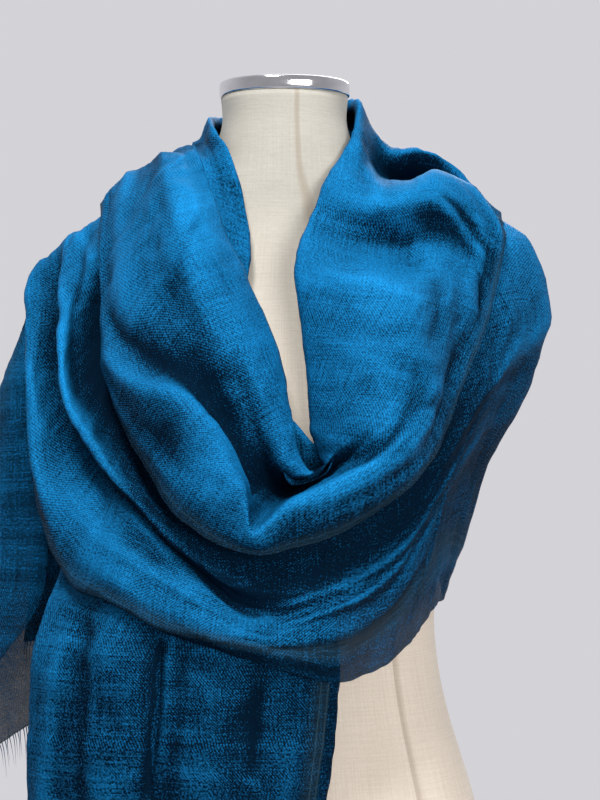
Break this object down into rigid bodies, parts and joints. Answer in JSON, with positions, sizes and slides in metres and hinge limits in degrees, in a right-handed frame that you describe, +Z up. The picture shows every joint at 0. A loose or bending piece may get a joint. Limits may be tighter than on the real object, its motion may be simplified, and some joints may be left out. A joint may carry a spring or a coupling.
{
  "type": "shawl wound on a limbless dress form",
  "caption": "Sheer linen shawl, folded lengthwise and wound round the neck and shoulders of a limbless dress form, with one end hanging in front and one thrown down the back, on a pole stand.",
  "frame": {"origin": "centre of the underside of the stand's round base, on the floor", "axes": "+Z up, -Y the way the form faces, +X to the right of someone who looks at its front"},
  "size_m": [0.54, 0.374, 1.1],
  "materials": {
    "blue_linen": "sheer linen twill, bright blue weft over a dark warp, which shimmers as it turns",
    "beige_linen": "taut beige linen with seams",
    "chrome": "polished",
    "steel": "brushed",
    "painted_base": "satin black paint"
  },
  "bodies": {
    "root": {"form_torso": "beige_linen", "neck_cap": "chrome", "stand_pole": "steel", "stand_base": "painted_base", "wrap_back": "blue_linen", "collar_left": "blue_linen", "collar_back": "blue_linen", "front_tail": "blue_linen", "lower_swag": "blue_linen", "cowl": "blue_linen", "throw_inner": "blue_linen", "throw_outer": "blue_linen", "fringe_tail": "blue_linen", "fringe_throw_inner": "blue_linen", "fringe_throw_outer": "blue_linen"}
  },
  "joints": []
}
